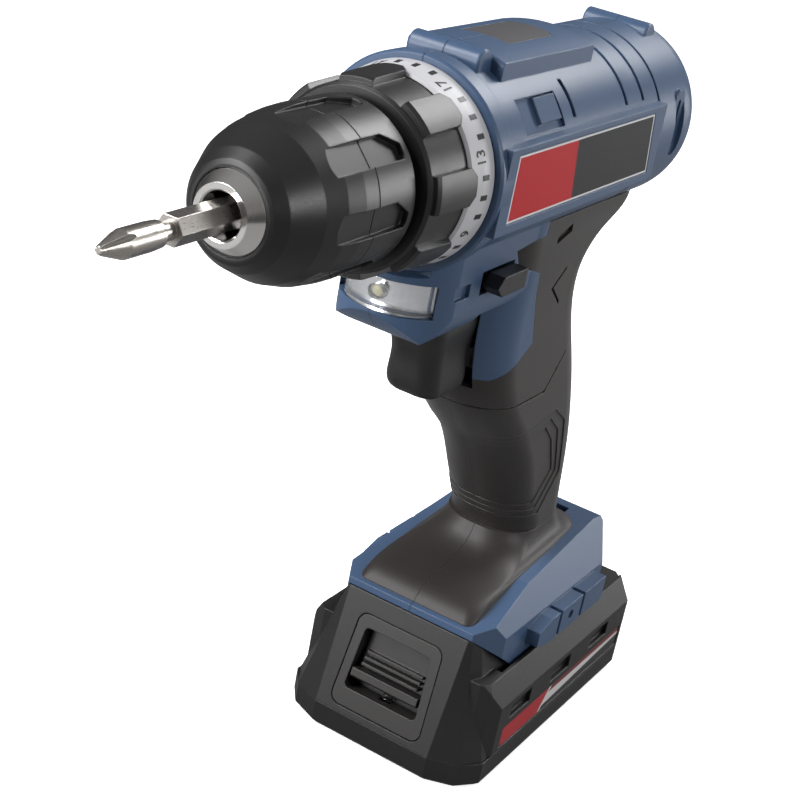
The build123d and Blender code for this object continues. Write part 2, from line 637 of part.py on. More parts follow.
def outer_shell():
    """The whole blue moulding before it is hollowed and split."""
    with BuildPart() as shell:
        add(barrel_form.part)
        add(shelf_form.part)
        add(handle_core)
        add(handle_outer & slab(bare_flank, -20, 20))
        add(foot_form.part)
        add(saddle_form(skin))
        add(left_studs)
        add(right_studs)
        add(deck_form.part)
        add(bump_bar(-93.2, 228.3, 3.4, 10.4))
        # hollow the barrel, the handle and the foot
        revolve(turned([(barrel_front - 1, 0), (barrel_front - 1, 23.0), (-92.3, 23.0), (-92.3, 24.1),
                        (cap_joint + 1, 24.1), (cap_joint + 1, 0)]), axis=spindle_axis, mode=Mode.SUBTRACT)
        add(handle_inside, mode=Mode.SUBTRACT)
        # the guide tongue of the pack slides in a channel that is open at the front
        add(block(-20.4, 20.4, -60, 34, 30, 44.6), mode=Mode.SUBTRACT)
        add(block(-12.6, 12.6, -20, 30, 40, 66), mode=Mode.SUBTRACT)
        # ribs that hold the motor and the gearbox
        for y0, y1, r in ((-57, -55, 18.05), (-30, -28, 18.05), (-91.8, -88.8, 22.05)):
            revolve(tube_face(y0, y1, r, 24.4), axis=spindle_axis)
        # pockets and openings of the controls
        add(pad_prism(0), mode=Mode.SUBTRACT)
        add(lens_zone.part, mode=Mode.SUBTRACT)
        add(block(-9.4, 9.4, -90, -52.5, 130.6, 156.4), mode=Mode.SUBTRACT)
        add(block(-19, 19, -83.8, -66.2, 167.2, 173.8), mode=Mode.SUBTRACT)
        # side panel pockets for the plates
        for x in (26.6, -27.6):
            add(slab([(-98.6, 193), (-98.6, 210.8), (-17.5, 210.8), (-14, 193)], x, x + 1.0), mode=Mode.SUBTRACT)
        # vents and relief pockets round the top of the barrel
        for y in (-30.5, -19.5):
            add((block(-30, 30, y - 0.8, y + 0.8, 213.6, 240)
                 - Solid.make_cylinder(25.3, 10, Plane(origin=(0, y - 5, axis_z), z_dir=(0, 1, 0)))),
                mode=Mode.SUBTRACT)
        add(pair(12, 30, -63.3, -61.5, 214.4, 222.5), mode=Mode.SUBTRACT)
        for side in (1, -1):
            centre = (side * 25.2 * cos(radians(36)), 0, axis_z + 25.2 * sin(radians(36)))
            normal = (side * cos(radians(36)), 0, sin(radians(36)))
            with BuildSketch(Plane(origin=centre, x_dir=(0, 1, 0), z_dir=normal)):
                with Locations((-79.2, 0)):
                    Rectangle(21, 9.4)
            extrude(amount=6, mode=Mode.SUBTRACT)
            with BuildSketch(Plane(origin=centre, x_dir=(0, 1, 0), z_dir=normal).offset(-0.6)):
                with Locations((-75, side * 0.8)):
                    Rectangle(12, 7.4)
            extrude(amount=1.7, taper=12)
        # threaded holes of the belt clip, in the middle studs
        for x0, x1 in ((24.0, 40.0), (-40.0, -24.0)):
            with BuildSketch(Plane.YZ.offset(x0)):
                with Locations(clip_hole):
                    Circle(clip_thread_radius)
            extrude(amount=x1 - x0, mode=Mode.SUBTRACT)
        # a small window ahead of the selector
        add(pair(15.8, 19, -97, -89.5, 168.2, 172), mode=Mode.SUBTRACT)
    return shell.part


shell = outer_shell()
left_room = block(0.01, 60, -130, 80, 0, 260)
right_room = block(-60, -0.01, -130, 80, 0, 260)

# screws from the right side; their bosses are part of the two halves
screw_places = [(-44, 225.0), (-60.5, 176.2), (-16, 179.0), (-15.2, 150), (-28, 112), (5, 84), (-40, 49.0), (35, 50.5)]
boss_reach = 19.0


def screw_cylinders(radius, x0, x1):
    with BuildPart() as cylinders:
        for y, z in screw_places:
            with BuildSketch(Plane.YZ.offset(x0)):
                with Locations((y, z)):
                    Circle(radius)
            extrude(amount=x1 - x0)
    return cylinders.part


inside_all = handle_inside + foot_form.part + barrel_form.part

with BuildPart() as housing_left:
    add(shell & left_room)
    add(screw_cylinders(2.6, 0.01, boss_reach) & inside_all & left_room)
    add(screw_cylinders(1.25, -1, 10), mode=Mode.SUBTRACT)
finish(housing_left, "housing_left")

with BuildPart() as housing_right:
    add(shell & right_room)
    add(screw_cylinders(2.6, -6, -0.01) & inside_all & right_room)
    add(screw_cylinders(4.1, -boss_reach, -5) & inside_all & right_room)
    add(screw_cylinders(1.55, -40, 1), mode=Mode.SUBTRACT)
    add(screw_cylinders(2.9, -40, -6.5), mode=Mode.SUBTRACT)
finish(housing_right, "housing_right")

with BuildPart() as housing_screws:
    for y, z in screw_places:
        with BuildSketch(Plane.YZ.offset(-6.5)):
            with Locations((y, z)):
                Circle(1.5)
        extrude(amount=6.5)
        with BuildSketch(Plane.YZ):
            with Locations((y, z)):
                Circle(1.24)
        extrude(amount=9)
        with BuildSketch(Plane.YZ.offset(-8.3)):
            with Locations((y, z)):
                Circle(2.7)
                Rectangle(2.6, 0.7, mode=Mode.SUBTRACT)
                Rectangle(0.7, 2.6, mode=Mode.SUBTRACT)
        extrude(amount=1.8)
finish(housing_screws, "housing_screws")

# ---- rear cap ----
with BuildPart() as rear_cap:
    revolve(turned([(cap_joint + 1.3, 0), (cap_joint + 1.3, barrel_radius), (barrel_rear, barrel_radius),
                    (barrel_rear, 0)]), axis=spindle_axis)
    fillet(rear_cap.edges().group_by(Axis.Y)[-1], 13.0)
    add(bump_bar(7.0, 226.2, 3.4, 10.4))
    # side vents: a long upright slot in a shallow oval dish
    for x0, x1 in ((14, 30), (-30, -14)):
        with BuildSketch(Plane.YZ.offset(x0)):
            with Locations((5.6, axis_z + 2.5)):
                SlotOverall(20, 6.2, rotation=90)
        extrude(amount=x1 - x0, mode=Mode.SUBTRACT)
    for x0, x1 in ((20.8, 24.9), (-24.9, -20.8)):
        with BuildSketch(Plane.YZ.offset(x0)):
            with Locations((5.6, axis_z + 2.5)):
                SlotOverall(20, 6.2, rotation=90)
                SlotOverall(14, 1.8, rotation=90, mode=Mode.SUBTRACT)
        extrude(amount=x1 - x0)
    revolve(turned([(cap_joint + 1, 0), (cap_joint + 1, 23.6), (9, 23.6), (17, 20.5), (22.4, 13), (22.4, 0)]),
            axis=spindle_axis, mode=Mode.SUBTRACT)
    # spigot that enters the barrel
    revolve(tube_face(cap_joint - 3, cap_joint + 2, 22.2, 24.0), axis=spindle_axis)
    # seat of the rear motor bush
    revolve(tube_face(-1.9, 22.6, 5.1, 7.0), axis=spindle_axis)
    add(handle_form(-0.1), mode=Mode.SUBTRACT)
finish(rear_cap, "rear_cap")

# ---- rubber grip ----
grip_zone = slab(bare_flank, -30, 30)
with BuildPart() as grip_shell:
    add(handle_outer)
    add(block(-30, 30, -100, 60, 60, 66.4), mode=Mode.SUBTRACT)
    add(handle_core, mode=Mode.SUBTRACT)
    add(saddle_form(skin - 0.1), mode=Mode.SUBTRACT)
    add(grip_zone, mode=Mode.SUBTRACT)
    add(block(-30, 30, -100, 60, 181.4, 190), mode=Mode.SUBTRACT)
    add(block(-9.4, 9.4, -90, -52.5, 130.6, 156.4), mode=Mode.SUBTRACT)
    revolve(tube_face(-105, 30, 0, barrel_radius + 0.02), axis=spindle_axis, mode=Mode.SUBTRACT)
    add(slab([(-104, 190.4), (-103, 212.6), (0, 212.6), (0, 190.4)], -27.4, 27.4), mode=Mode.SUBTRACT)
    # palm pad: three terraces, each a little deeper
    for step in range(3):
        d = 2.7 * step
        terrace = [(-60, 107.5 - d), (-12 - 0.6 * d, 112.5 - d), (-3.2 - d, 106.5 - d), (3.2 - d, 86 + d * 0.4),
                   (-5 - d, 73 + d), (-60, 73 + d)]
        add(slab(terrace, -30, 30) - handle_form(0.35 * (step + 1)), mode=Mode.SUBTRACT)
    # crease under the thumb, arrow on the flank and a short slot near the barrel
    for groove in ([(-16.2, 133.8), (-25.2, 122.2), (-62, 122.8), (-62, 123.6), (-25.6, 123.0), (-16.8, 134.0)],
                   [(-30.8, 164.6), (-38.2, 158.8), (-30.7, 152.4), (-30.7, 153.6), (-36.8, 158.8), (-30.8, 163.4)]):
        add(slab(groove, -30, 30) - handle_form(0.8), mode=Mode.SUBTRACT)
    add(slab([(-42, 173.2), (-33.5, 175.6), (-33.5, 178.0), (-42, 175.6)], -30, 30) - handle_form(1.1),
        mode=Mode.SUBTRACT)
for label, room in (("grip_left", left_room), ("grip_right", right_room)):
    with BuildPart() as grip:
        add(grip_shell.part & room)
        if label == "grip_right":
            add(screw_cylinders(2.9, -40, -6.5), mode=Mode.SUBTRACT)
    finish(grip, label)

# ---- saddle over the foot ----
with BuildPart() as saddle_shell:
    add(saddle_form(0))
    add(saddle_form(skin), mode=Mode.SUBTRACT)
    add(foot_form.part, mode=Mode.SUBTRACT)
    add(handle_core, mode=Mode.SUBTRACT)
    add(grip_shell.part, mode=Mode.SUBTRACT)
for label, room in (("saddle_left", left_room), ("saddle_right", right_room)):
    with BuildPart() as saddle:
        add(saddle_shell.part & room)
        if label == "saddle_right":
            add(screw_cylinders(2.9, -40, -6.5), mode=Mode.SUBTRACT)
    finish(saddle, label)

# ---- trim and lamp ----
with BuildPart() as top_pad:
    add(deck_form.part & pad_prism(0.12))
finish(top_pad, "top_pad")

with BuildPart() as side_badges:
    outline = [(-98.4, 193.2), (-98.4, 210.6), (-17.7, 210.6), (-14.3, 193.2)]
    add(slab(outline, 26.6, 27.3))
    add(slab(outline, -27.3, -26.6))
finish(side_badges, "side_badges")

with BuildPart() as led_lens:
    with BuildSketch(Plane.XY.offset(163.75)):
        with BuildLine():
            Line((14.25, -95.3), (14.25, -98.2))
            ThreePointArc((14.25, -98.2), (0, shelf_plan_front), (-14.25, -98.2))
            Line((-14.25, -98.2), (-14.25, -95.3))
            ThreePointArc((-14.25, -95.3), (0, shelf_plan_front + 4.7), (14.25, -95.3))
        make_face()
    extrude(amount=8.9)
    add(shelf_form.part, mode=Mode.INTERSECT)
    with BuildSketch(Plane.XZ.offset(101)):
        with Locations((0, 168.2)):
            Circle(2.1)
    extrude(amount=6.4, mode=Mode.SUBTRACT)
finish(led_lens, "led_lens")

with BuildPart() as led_lamp:
    with BuildSketch(Plane.XZ.offset(104.6)):
        with Locations((0, 168.2)):
            Circle(1.7)
    extrude(amount=2.2)
    fillet(led_lamp.edges().filter_by(GeomType.CIRCLE).sort_by(Axis.Y)[0], 1.2)
    with BuildSketch(Plane.XZ.offset(104.6)):
        with Locations((0, 168.2)):
            Circle(2.0)
    extrude(amount=0.4)
finish(led_lamp, "led_lamp")

# ---- switch, trigger and selector ----
trigger_travel = 6.5
with BuildPart() as switch_body:
    add(block(-10.5, 10.5, -50.5, -20.5, 132, 158))
    add(block(-3, 3, -52.5, -50, 139, 147))
finish(switch_body, "switch_body")

# stations of the trigger from its lower edge up: height, front, half width, corner radius
trigger_stations = [(131.2, -79.6, 7.0, 4.5), (132.4, -81.4, 7.9, 5.0), (136.0, -82.9, 8.4, 5.5),
                    (148.0, -84.8, 8.5, 5.5), (155.8, -85.2, 8.5, 5.5)]
with BuildPart() as trigger:
    for z, front, half, corner in trigger_stations:
        with BuildSketch(Plane.XY.offset(z)):
            with Locations((0, (front - 60) / 2)):
                RectangleRounded(2 * half, -60 - front, corner)
    loft()
    add(block(-6.2, 6.2, -72, -59, 134.0, 153.6), mode=Mode.SUBTRACT)
    add(block(-2, 2, -73, -60.6, 141, 145))
finish(trigger, "trigger")

with BuildPart() as trigger_spring:
    with BuildLine() as coil:
        Helix(1.5, 7.6, 1.9, center=(0, -58.5, 150), direction=(0, 1, 0))
    with BuildSketch(Plane(origin=coil.line @ 0, z_dir=coil.line % 0)):
        Circle(0.3)
    sweep(is_frenet=True)
finish(trigger_spring, "trigger_spring")

selector_travel = 3.0
with BuildPart() as direction_selector:
    add(block(-22, 22, -80.8, -69.2, 168.2, 172.8))
    for x0, x1 in ((17.2, 22.0), (-22.0, -17.2)):
        add(slab([(-83.2, 170.4), (-80.4, 173.3), (-67.6, 173.3), (-67.6, 167.8), (-80.4, 167.8)], x0, x1))
finish(direction_selector, "direction_selector")

# ---- supply contacts in the foot ----
with BuildPart() as terminal_block:
    add(block(-12, 12, 0, 18, 46.2, 58))
finish(terminal_block, "terminal_block")

with BuildPart() as terminal_blades:
    for x in (-7, 0, 7):
        add(block(x - 0.4, x + 0.4, 0.5, 14, 40.5, 46.15))
finish(terminal_blades, "terminal_blades")

# ---- battery pack ----
case_seam = 9.0
plan_half = [(0, battery_front - 2.5), (21, battery_front - 2.5), (30.5, battery_front + 1.5),
             (battery_half_width, battery_front + 8), (battery_half_width, battery_rear - 9),
             (battery_half_width - 8, battery_rear), (0, battery_rear)]
plan_outline = plan_half + [(-x, y) for x, y in reversed(plan_half[1:-1])]


def case_block(z0, z1, inset=0.0):
    with BuildPart() as layer:
        with BuildSketch(Plane.XY.offset(z0)):
            with BuildLine():
                Polyline(plan_outline, close=True)
            make_face()
            if inset:
                offset(amount=-inset)
        extrude(amount=z1 - z0)
    return layer.part


# the raked front face that carries the latch
face_top = (-50.9, 47.6)
face_foot = (battery_front - 2.5, 9.0)
rake = atan2(face_top[0] - face_foot[0], face_top[1] - face_foot[1])
face_plane = Plane(origin=(0, face_foot[0], face_foot[1]), x_dir=(1, 0, 0), z_dir=(0, -cos(rake), sin(rake)))


def tower_form():
    """The nose that rises in front of the foot: a raked face between two cheeks."""
    with BuildPart() as tower:
        with BuildSketch(Plane.XY.offset(9.0)):
            with BuildLine():
                Polyline([(-35.0, -30), (-34.8, battery_front + 8.2), (-30.5, battery_front + 1.5),
                          (-21, battery_front - 2.5), (21, battery_front - 2.5), (30.5, battery_front + 1.5),
                          (34.8, battery_front + 8.2), (35.0, -30)], close=True)
            make_face()
        with BuildSketch(Plane.XY.offset(face_top[1])):
            with BuildLine():
                Polyline([(-24.4, -30), (-24.0, -46), (-23.0, face_top[0] + 1.2), (-21.8, face_top[0]),
                          (21.8, face_top[0]), (23.0, face_top[0] + 1.2), (24.0, -46), (24.4, -30)], close=True)
            make_face()
        loft(ruled=True)
    return tower.part


foot_clearance = slab([(-66, 48.6), (-50.2, 47.6), (-30.2, 32.6), (60, 32.6), (60, 90), (-66, 90)], -40, 40)

case_screws = [(-21, -54.4), (21, -54.4), (-28, 47), (28, 47)]

with BuildPart() as battery_lower_case:
    add(case_block(0, case_seam))
    chamfer(battery_lower_case.faces().sort_by(Axis.Z)[0].edges(), 1.8)
    add(case_block(2.2, case_seam + 1, 2.2), mode=Mode.SUBTRACT)
    for x, y in case_screws:
        with BuildSketch(Plane.XY.offset(1)):
            with Locations((x, y)):
                Circle(3.6)
        extrude(amount=case_seam - 1)
        with BuildSketch(Plane.XY):
            with Locations((x, y)):
                Circle(1.6)
        extrude(amount=case_seam, mode=Mode.SUBTRACT)
        with BuildSketch(Plane.XY):
            with Locations((x, y)):
                Circle(2.7)
        extrude(amount=2.4, mode=Mode.SUBTRACT)
finish(battery_lower_case, "battery_lower_case")

with BuildPart() as battery_upper_case:
    add(case_block(case_seam, rim_height))
    with BuildSketch(Plane.XY.offset(rim_height)):   # sloping ledge round the deck
        with BuildLine():
            Polyline(plan_outline, close=True)
        make_face()
    extrude(amount=8.6, taper=25)
    add(block(-30.4, 30.4, -40, 60, deck_height, 50), mode=Mode.SUBTRACT)
    # the side panels end short of the front, where the cheeks of the nose take over
    with BuildSketch(Plane.XY.offset(case_seam)):
        with BuildLine():
            Polyline([(-40, -70), (40, -70), (40, -45.5), (35.5, -45.5), (33, -49.5), (29, -51.5), (-29, -51.5),
                      (-33, -49.5), (-35.5, -45.5), (-40, -45.5)], close=True)
        make_face()
    extrude(amount=30, mode=Mode.SUBTRACT)
    add(tower_form())
    add(foot_clearance & block(-30.4, 30.4, -70, 90, 30, 90), mode=Mode.SUBTRACT)
    add(foot_clearance & block(-40, 40, -30, 90, 36, 90), mode=Mode.SUBTRACT)
    add(case_block(case_seam - 1, rim_height, 2.2) & block(-33, 33, -43.4, 55, 8, 29.6), mode=Mode.SUBTRACT)
    add(block(-24, 24, -47.5, -43, 8, 27), mode=Mode.SUBTRACT)
    add(block(-30, 30, -28, 50, 20, 29.8), mode=Mode.SUBTRACT)
    # guide tongue: a head that the rails of the foot hold
    add(block(-12.9, 12.9, -28, 28, deck_height - 1, 38))
    add(block(-16.6, 16.6, -28, 28, 37.4, 43.6))
    add(block(-9.5, 9.5, -2, 29, 34, 44), mode=Mode.SUBTRACT)
    # shallow pockets on the flanks: three vents and a long label band
    for y in (-31.2, -3, 26):
        add(pair(battery_half_width - 1.6, 40, y - 6.8, y + 6.8, 20, 25.2), mode=Mode.SUBTRACT)
    add(pair(battery_half_width - 0.5, 40, -41, 46, case_seam + 0.8, 17.6), mode=Mode.SUBTRACT)
    # seat of the latch bezel in the raked face
    with BuildSketch(face_plane.offset(3)):
        with BuildLine():
            Polyline([(-16.9, 2.2), (16.9, 2.2), (15.4, 34.0), (-15.4, 34.0)], close=True)
        make_face()
        fillet(vertices(), 3.5)
    extrude(amount=-10.5, mode=Mode.SUBTRACT)
finish(battery_upper_case, "battery_upper_case")

with BuildPart() as latch_bezel:
    with BuildSketch(face_plane.offset(-0.15)):
        with BuildLine():
            Polyline([(-16.6, 2.5), (16.6, 2.5), (15.1, 33.7), (-15.1, 33.7)], close=True)
        make_face()
        fillet(vertices(), 3.3)
    extrude(amount=-7.0)
    # window for the finger, open to the latch behind
    with BuildSketch(face_plane):
        with BuildLine():
            Polyline([(-13.4, 8.6), (13.4, 8.6), (12.1, 29.6), (-12.1, 29.6)], close=True)
        make_face()
        fillet(vertices(), 1.6)
    extrude(amount=-8.0, mode=Mode.SUBTRACT)
    with BuildSketch(face_plane.offset(-3.6)):     # pocket of the latch spring
        with Locations((0, 6.2)):
            Rectangle(4.2, 7.2)
    extrude(amount=-5, mode=Mode.SUBTRACT)
finish(latch_bezel, "latch_bezel")

latch_travel = 3.0
with BuildPart() as battery_latch:
    # back plate, grip ledge and three ribs; it slides down behind the bezel's window
    with BuildSketch(face_plane.offset(-4.6)):
        with BuildLine():
            Polyline([(-12.3, 12.2), (12.3, 12.2), (11.3, 29.0), (-11.3, 29.0)], close=True)
        make_face()
    extrude(amount=-2.0)
    with BuildSketch(face_plane.offset(-4.7)):
        with Locations((0, 14.2)):
            Rectangle(24.4, 3.2)
    extrude(amount=4.9)
    chamfer(battery_latch.edges().filter_by(Axis.X).group_by(Axis.Y)[0], 0.7)
    for step in range(3):
        with BuildSketch(face_plane.offset(-4.7)):
            with Locations((0, 17.6 + 1.9 * step)):
                Rectangle(20.6, 0.9)
        extrude(amount=3.3 - 0.8 * step)
finish(battery_latch, "battery_latch")

with BuildPart() as latch_spring:
    spring_seat = face_plane.offset(-5.6)
    start = spring_seat.from_local_coords((0, 3.0, 0))
    with BuildLine() as coil:
        Helix(1.4, 8.4, 1.5, center=start, direction=spring_seat.y_dir)
    with BuildSketch(Plane(origin=coil.line @ 0, z_dir=coil.line % 0)):
        Circle(0.22)
    sweep(is_frenet=True)
finish(latch_spring, "latch_spring")

# ---- inside the pack: three cells side by side, crosswise ----
cell_radius = 9.1
cell_length = 65.0
cell_pitch = 19.4
cell_height = 12.4
cell_first = -33.5

with BuildPart() as battery_cells:
    for k in range(3):
        with BuildSketch(Plane.YZ.offset(-cell_length / 2)):
            with Locations((cell_first + cell_pitch * k, cell_height)):
                Circle(cell_radius)
        extrude(amount=cell_length)
finish(battery_cells, "battery_cells")

with BuildPart() as cell_holder:
    holder_front, holder_rear = cell_first - 9.6, cell_first + 2 * cell_pitch + 9.6
    for x0, x1 in ((-24, -14), (14, 24)):
        add(block(x0, x1, holder_front, holder_rear, 2.3, 14.5))
    add(block(-24, 24, holder_front, holder_rear, 2.3, 3.2))
    for k in range(3):
        with BuildSketch(Plane.YZ.offset(-30)):
            with Locations((cell_first + cell_pitch * k, cell_height)):
                Circle(cell_radius + 0.05)
        extrude(amount=60, mode=Mode.SUBTRACT)
finish(cell_holder, "cell_holder")

with BuildPart() as battery_board:
    add(block(-22, 22, 14, 50, 23.0, 24.6))
    for x in (-14, -4, 6):
        add(block(x, x + 5, 34, 40, 24.6, 26.2))
finish(battery_board, "battery_board")

with BuildPart() as battery_terminals:             # spring forks that take the blades
    for x in (-7, 0, 7):
        add(block(x - 1.4, x - 0.45, 0.5, 15, 34.2, 43.2))
        add(block(x + 0.45, x + 1.4, 0.5, 15, 34.2, 43.2))
        add(block(x - 1.4, x + 1.4, 0.5, 15, 34.05, 35.2))
finish(battery_terminals, "battery_terminals")

with BuildPart() as battery_screws:
    for x, y in case_screws:
        with BuildSketch(Plane.XY.offset(0.4)):
            with Locations((x, y)):
                Circle(2.6)
                RegularPolygon(1.2, 6, mode=Mode.SUBTRACT)
        extrude(amount=1.9)
        with BuildSketch(Plane.XY.offset(2.2)):
            with Locations((x, y)):
                Circle(1.5)
        extrude(amount=6.5)
finish(battery_screws, "battery_screws")
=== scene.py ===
import json
import math

import bpy
from mathutils import Matrix, Vector


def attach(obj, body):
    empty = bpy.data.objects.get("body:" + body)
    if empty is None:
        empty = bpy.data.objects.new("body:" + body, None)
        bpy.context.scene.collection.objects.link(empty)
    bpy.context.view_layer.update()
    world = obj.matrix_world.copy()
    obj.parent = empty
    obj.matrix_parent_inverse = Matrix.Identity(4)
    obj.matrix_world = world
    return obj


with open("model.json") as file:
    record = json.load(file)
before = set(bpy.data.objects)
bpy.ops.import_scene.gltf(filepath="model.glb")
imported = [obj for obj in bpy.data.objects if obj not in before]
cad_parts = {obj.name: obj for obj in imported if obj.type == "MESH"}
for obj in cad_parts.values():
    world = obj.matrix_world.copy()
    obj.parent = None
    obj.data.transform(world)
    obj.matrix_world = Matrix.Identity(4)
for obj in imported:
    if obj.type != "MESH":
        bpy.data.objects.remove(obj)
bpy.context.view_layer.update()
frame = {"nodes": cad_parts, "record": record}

print("frame loaded:", len(frame["nodes"]), "nodes")

mm = 0.001                # a millimetre, in the scene's metres
spindleHeight = 201.7 * mm

shot = {"azimuth": 27.59, "elevation": 23.86, "roll": 11.01, "place": (0.1957, -0.4580, 0.3172),
        "lens": 76.0, "sensor": 36.0, "near": 0.01, "far": 50}


def addCamera():
    turn, lift, roll = (math.radians(shot[k]) for k in ("azimuth", "elevation", "roll"))
    back = Vector((math.sin(turn) * math.cos(lift), -math.cos(turn) * math.cos(lift), math.sin(lift)))
    right = Vector((math.cos(turn), math.sin(turn), 0))
    up = back.cross(right)
    tiltedRight = math.cos(roll) * right + math.sin(roll) * up
    tiltedUp = -math.sin(roll) * right + math.cos(roll) * up
    lensData = bpy.data.cameras.new("camera")
    lensData.lens = shot["lens"]
    lensData.sensor_width = shot["sensor"]
    lensData.clip_start = shot["near"]
    lensData.clip_end = shot["far"]
    camera = bpy.data.objects.new("camera", lensData)
    bpy.context.scene.collection.objects.link(camera)
    pose = Matrix((tiltedRight, tiltedUp, back)).transposed().to_4x4()
    pose.translation = shot["place"]
    camera.matrix_world = pose
    bpy.context.scene.camera = camera


addCamera()
print("camera placed")


def mathNode(tree, kind, a, b=None, clamp=False):
    node = tree.nodes.new("ShaderNodeMath")
    node.operation = kind
    node.use_clamp = clamp
    for socket, value in zip(node.inputs, (a, b)):
        if value is None:
            continue
        if isinstance(value, (int, float)):
            socket.default_value = value
        else:
            tree.links.new(value, socket)
    return node.outputs[0]


def mixColours(tree, amount, first, second):
    mix = tree.nodes.new("ShaderNodeMix")
    mix.data_type = "RGBA"
    for name, value in (("Factor", amount), ("A", first), ("B", second)):
        socket = mix.inputs[name]
        if isinstance(value, (int, float)):
            socket.default_value = value
        elif isinstance(value, tuple):
            socket.default_value = (*value, 1.0) if len(value) == 3 else value
        else:
            tree.links.new(value, socket)
    return mix.outputs["Result"]


studio = {
    "floorSize": 9.0, "floorDrop": 0.0002, "fibreScale": 30, "toneSpread": 0.01,
    "paperRough": 0.9, "paperShine": 0.1,
    "floorTone": 0.93, "floorGlow": 0.62,     # the paper as the camera sees it
    "bounceTone": 0.22,                       # the paper as the object sees it
    "skySeen": 0.92, "worldTop": 0.34, "worldSide": 0.08, "worldLow": 0.03, "horizon": 0.55,
    "lights": [
        # name, place, aim, size, power
        ("keySoftbox", (-0.62, -0.75, 1.00), (0.0, -0.06, 0.14), 0.50, 16.0),
        ("topBack", (0.20, 0.80, 0.95), (0.0, -0.02, 0.15), 0.55, 10.5),
        ("frontLow", (-0.58, -1.15, 0.38), (0.0, 0.0, 0.08), 0.60, 14.0),
        ("rearRim", (0.80, 1.00, 0.28), (0.0, 0.0, 0.10), 0.45, 6.0),
        ("sideStrip", (1.10, -0.20, 0.55), (0.0, 0.0, 0.13), 0.35, 5.5),
    ],
}


def aimedAt(place, aim):
    return (Vector(aim) - Vector(place)).to_track_quat("-Z", "Y").to_euler()


# the camera sees pale paper, while the object is lit by a darker one, so that its blacks stay black
def addFloor():
    bpy.ops.object.select_all(action="DESELECT")
    bpy.ops.mesh.primitive_plane_add(size=studio["floorSize"], location=(0, 0, -studio["floorDrop"]))
    floor = bpy.context.object
    floor.name = "floor"
    bpy.ops.object.transform_apply(location=True)
    paper = bpy.data.materials.new("paper")
    paper.use_nodes = True
    nodes, links = paper.node_tree.nodes, paper.node_tree.links
    shader = nodes["Principled BSDF"]
    shader.inputs["Roughness"].default_value = studio["paperRough"]
    shader.inputs["Specular IOR Level"].default_value = studio["paperShine"]
    shader.inputs["Emission Color"].default_value = (1, 1, 1, 1)
    place = nodes.new("ShaderNodeTexCoord")
    fibre = nodes.new("ShaderNodeTexNoise")
    fibre.inputs["Scale"].default_value = studio["fibreScale"]
    links.new(place.outputs["Object"], fibre.inputs["Vector"])
    tone = nodes.new("ShaderNodeMapRange")
    tone.inputs["To Min"].default_value = studio["floorTone"] - studio["toneSpread"]
    tone.inputs["To Max"].default_value = studio["floorTone"] + studio["toneSpread"]
    links.new(fibre.outputs["Fac"], tone.inputs["Value"])
    ray = nodes.new("ShaderNodeLightPath")
    isSeen = ray.outputs["Is Camera Ray"]
    seen = mixColours(paper.node_tree, isSeen, (studio["bounceTone"],) * 3, tone.outputs["Result"])
    links.new(seen, shader.inputs["Base Color"])
    glow = mathNode(paper.node_tree, "MULTIPLY", isSeen, studio["floorGlow"])
    links.new(glow, shader.inputs["Emission Strength"])
    floor.data.materials.append(paper)


def addLights():
    for name, place, aim, size, power in studio["lights"]:
        data = bpy.data.lights.new(name, "AREA")
        data.shape = "DISK"
        data.size = size
        data.energy = power
        lamp = bpy.data.objects.new(name, data)
        lamp.location = place
        lamp.rotation_euler = aimedAt(place, aim)
        bpy.context.scene.collection.objects.link(lamp)


def addSky():
    world = bpy.data.worlds.new("studioSky")
    bpy.context.scene.world = world
    world.use_nodes = True
    nodes, links = world.node_tree.nodes, world.node_tree.links
    background = nodes["Background"]
    where = nodes.new("ShaderNodeTexCoord")
    split = nodes.new("ShaderNodeSeparateXYZ")
    links.new(where.outputs["Generated"], split.inputs["Vector"])
    ramp = nodes.new("ShaderNodeValToRGB")
    stops = ramp.color_ramp.elements
    stops[0].position, stops[0].color = 0.0, [studio["worldLow"]] * 3 + [1]
    stops[1].position, stops[1].color = 1.0, [studio["worldTop"]] * 3 + [1]
    middle = stops.new(studio["horizon"])
    middle.color = [studio["worldSide"]] * 3 + [1]
    height = nodes.new("ShaderNodeMapRange")
    height.inputs["From Min"].default_value = -1
    links.new(split.outputs["Z"], height.inputs["Value"])
    links.new(height.outputs["Result"], ramp.inputs["Fac"])
    ray = nodes.new("ShaderNodeLightPath")
    isSeen = ray.outputs["Is Camera Ray"]
    seen = mixColours(world.node_tree, isSeen, ramp.outputs["Color"], (studio["skySeen"],) * 3)
    links.new(seen, background.inputs["Color"])


addFloor()
addLights()
addSky()
bpy.context.scene.view_settings.view_transform = "Standard"
print("studio lit")


def addGroup(name, inputs, outputs):
    group = bpy.data.node_groups.new(name, "ShaderNodeTree")
    for label, kind, value in inputs:
        socket = group.interface.new_socket(name=label, in_out="INPUT", socket_type=kind)
        socket.default_value = value
    for label, kind in outputs:
        group.interface.new_socket(name=label, in_out="OUTPUT", socket_type=kind)
    return group, group.nodes.new("NodeGroupInput"), group.nodes.new("NodeGroupOutput")


texture = {"bevelSamples": 4, "edgeGain": 5.0, "grainDetail": 3, "grainRough": 0.6, "bumpHeight": 0.0001,
           "cloudScale": 45, "cloudDetail": 4, "noiseLow": 0.3, "noiseHigh": 0.7}


